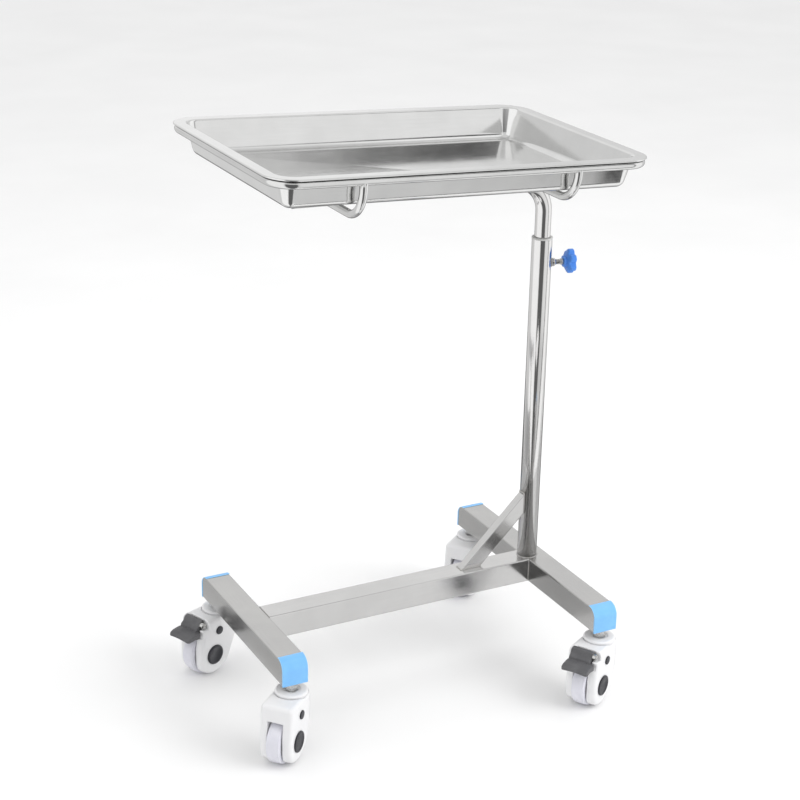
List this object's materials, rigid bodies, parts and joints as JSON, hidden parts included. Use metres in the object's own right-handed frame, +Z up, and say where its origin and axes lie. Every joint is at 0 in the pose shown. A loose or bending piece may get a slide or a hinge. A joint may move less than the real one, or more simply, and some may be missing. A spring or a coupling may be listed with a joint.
{
  "type": "instrument cart",
  "caption": "Stainless instrument stand: H base on swivel casters, telescopic post with star-knob clamp, and a lift-out deep tray on a round-bar frame.",
  "frame": {"origin": "on the floor, under the middle of the whole object's box at rest", "axes": "+Z up, +X along the long beam from the free end to the mast, +Y away from the side that the clamp knob leans to"},
  "size_m": [0.6448, 0.4996, 0.8948],
  "materials": {
    "base_steel": "satin stainless steel, lightly brushed along the tube",
    "tube_steel": "polished stainless steel",
    "tray_steel": "polished deep-drawn stainless steel",
    "fastener_steel": "bright zinc-plated steel",
    "cap_blue": "light blue moulded plastic",
    "knob_blue": "blue moulded plastic",
    "caster_white": "glossy white moulded plastic",
    "trim_black": "black moulded plastic",
    "pedal_grey": "dark grey fine-textured plastic",
    "tyre_grey": "pale grey thermoplastic rubber",
    "hub_plastic": "pale grey moulded plastic",
    "bush_nylon": "natural nylon",
    "plug_plastic": "grey moulded plastic",
    "shoe_brass": "turned brass"
  },
  "bodies": {
    "base_frame": {"long_beam": "base_steel", "left_cross_beam": "base_steel", "right_cross_beam": "base_steel", "left_near_end_cap": "cap_blue", "left_far_end_cap": "cap_blue", "right_near_end_cap": "cap_blue", "right_far_end_cap": "cap_blue", "stem_nuts": "fastener_steel", "weld_nuts": "fastener_steel", "brace": "base_steel", "mast_tube": "tube_steel", "mast_bush": "bush_nylon", "clamp_boss": "tube_steel", "left_near_stem": "fastener_steel", "left_far_stem": "fastener_steel", "right_near_stem": "fastener_steel", "right_far_stem": "fastener_steel", "left_near_cover_disc": "caster_white", "left_far_cover_disc": "caster_white", "right_near_cover_disc": "caster_white", "right_far_cover_disc": "caster_white"},
    "clamp_shoe": {"clamp_shoe": "shoe_brass"},
    "clamp_knob": {"clamp_screw": "fastener_steel", "clamp_knob": "knob_blue"},
    "post_guide": {"post_guide": "bush_nylon"},
    "post_arm": {"post": "tube_steel", "post_foot_plug": "plug_plastic", "arm_end_plug": "plug_plastic", "support_ring": "tube_steel", "left_cross_rod": "tube_steel", "right_cross_rod": "tube_steel"},
    "tray": {"tray": "tray_steel"},
    "left_near_caster": {"left_near_fork": "caster_white", "left_near_axle": "fastener_steel", "left_near_trim_caps": "trim_black"},
    "left_near_wheel": {"left_near_tyre": "tyre_grey", "left_near_hub": "hub_plastic", "left_near_bearings": "fastener_steel"},
    "left_far_caster": {"left_far_fork": "caster_white", "left_far_axle": "fastener_steel", "left_far_trim_caps": "trim_black", "left_far_pedal_pin": "fastener_steel"},
    "left_far_wheel": {"left_far_tyre": "tyre_grey", "left_far_hub": "hub_plastic", "left_far_bearings": "fastener_steel"},
    "left_far_brake": {"left_far_brake_pedal": "pedal_grey"},
    "right_near_caster": {"right_near_fork": "caster_white", "right_near_axle": "fastener_steel", "right_near_trim_caps": "trim_black", "right_near_pedal_pin": "fastener_steel"},
    "right_near_wheel": {"right_near_tyre": "tyre_grey", "right_near_hub": "hub_plastic", "right_near_bearings": "fastener_steel"},
    "right_near_brake": {"right_near_brake_pedal": "pedal_grey"},
    "right_far_caster": {"right_far_fork": "caster_white", "right_far_axle": "fastener_steel", "right_far_trim_caps": "trim_black"},
    "right_far_wheel": {"right_far_tyre": "tyre_grey", "right_far_hub": "hub_plastic", "right_far_bearings": "fastener_steel"}
  },
  "joints": [
    {"name": "clamp_shoe_slide", "type": "slide", "parent": "base_frame", "child": "clamp_shoe", "axis": [0.9781, -0.2079, 0], "range_m": [0, 0.00125]},
    {"name": "clamp_knob_turn", "type": "hinge", "parent": "clamp_shoe", "child": "clamp_knob", "pos_m": [0.27339, 0.01335, 0.661], "axis": [0.9781, -0.2079, 0], "range_deg": [0, 360]},
    {"name": "post_height", "type": "slide", "parent": "base_frame", "child": "post_guide", "axis": [0, 0, 1], "range_m": [-0.03, 0.38]},
    {"name": "post_swivel", "type": "hinge", "parent": "post_guide", "child": "post_arm", "pos_m": [0.25726, 0.01678, 0.2], "axis": [0, 0, 1], "continuous": true},
    {"name": "tray_lift", "type": "slide", "parent": "post_arm", "child": "tray", "axis": [0.0489, 0, 0.9988], "range_m": [0, 0.09]},
    {"name": "left_near_swivel", "type": "hinge", "parent": "base_frame", "child": "left_near_caster", "pos_m": [-0.23525, -0.12822, 0.1], "axis": [0, 0, 1], "continuous": true},
    {"name": "left_near_roll", "type": "hinge", "parent": "left_near_caster", "child": "left_near_wheel", "pos_m": [-0.2594, -0.14922, 0.0375], "axis": [0.6561, -0.7547, 0], "continuous": true},
    {"name": "left_far_swivel", "type": "hinge", "parent": "base_frame", "child": "left_far_caster", "pos_m": [-0.23525, 0.16178, 0.1], "axis": [0, 0, 1], "continuous": true},
    {"name": "left_far_roll", "type": "hinge", "parent": "left_far_caster", "child": "left_far_wheel", "pos_m": [-0.26502, 0.15005, 0.0375], "axis": [0.3665, -0.9304, 0], "continuous": true},
    {"name": "left_far_brake_press", "type": "hinge", "parent": "left_far_caster", "child": "left_far_brake", "pos_m": [-0.28177, 0.14345, 0.093], "axis": [0.3665, -0.9304, 0], "range_deg": [0, 10]},
    {"name": "right_near_swivel", "type": "hinge", "parent": "base_frame", "child": "right_near_caster", "pos_m": [0.26976, -0.18822, 0.1], "axis": [0, 0, 1], "continuous": true},
    {"name": "right_near_roll", "type": "hinge", "parent": "right_near_caster", "child": "right_near_wheel", "pos_m": [0.24204, -0.20422, 0.0375], "axis": [0.5, -0.866, 0], "continuous": true},
    {"name": "right_near_brake_press", "type": "hinge", "parent": "right_near_caster", "child": "right_near_brake", "pos_m": [0.22645, -0.21322, 0.093], "axis": [0.5, -0.866, 0], "range_deg": [0, 10]},
    {"name": "right_far_swivel", "type": "hinge", "parent": "base_frame", "child": "right_far_caster", "pos_m": [0.26976, 0.22178, 0.1], "axis": [0, 0, 1], "continuous": true},
    {"name": "right_far_roll", "type": "hinge", "parent": "right_far_caster", "child": "right_far_wheel", "pos_m": [0.2442, 0.20252, 0.0375], "axis": [0.6018, -0.7986, 0], "continuous": true}
  ],
  "couplings": [
    {"joint": "clamp_knob_turn", "follows": "clamp_shoe_slide", "rad_per_m": 5026.5}
  ]
}
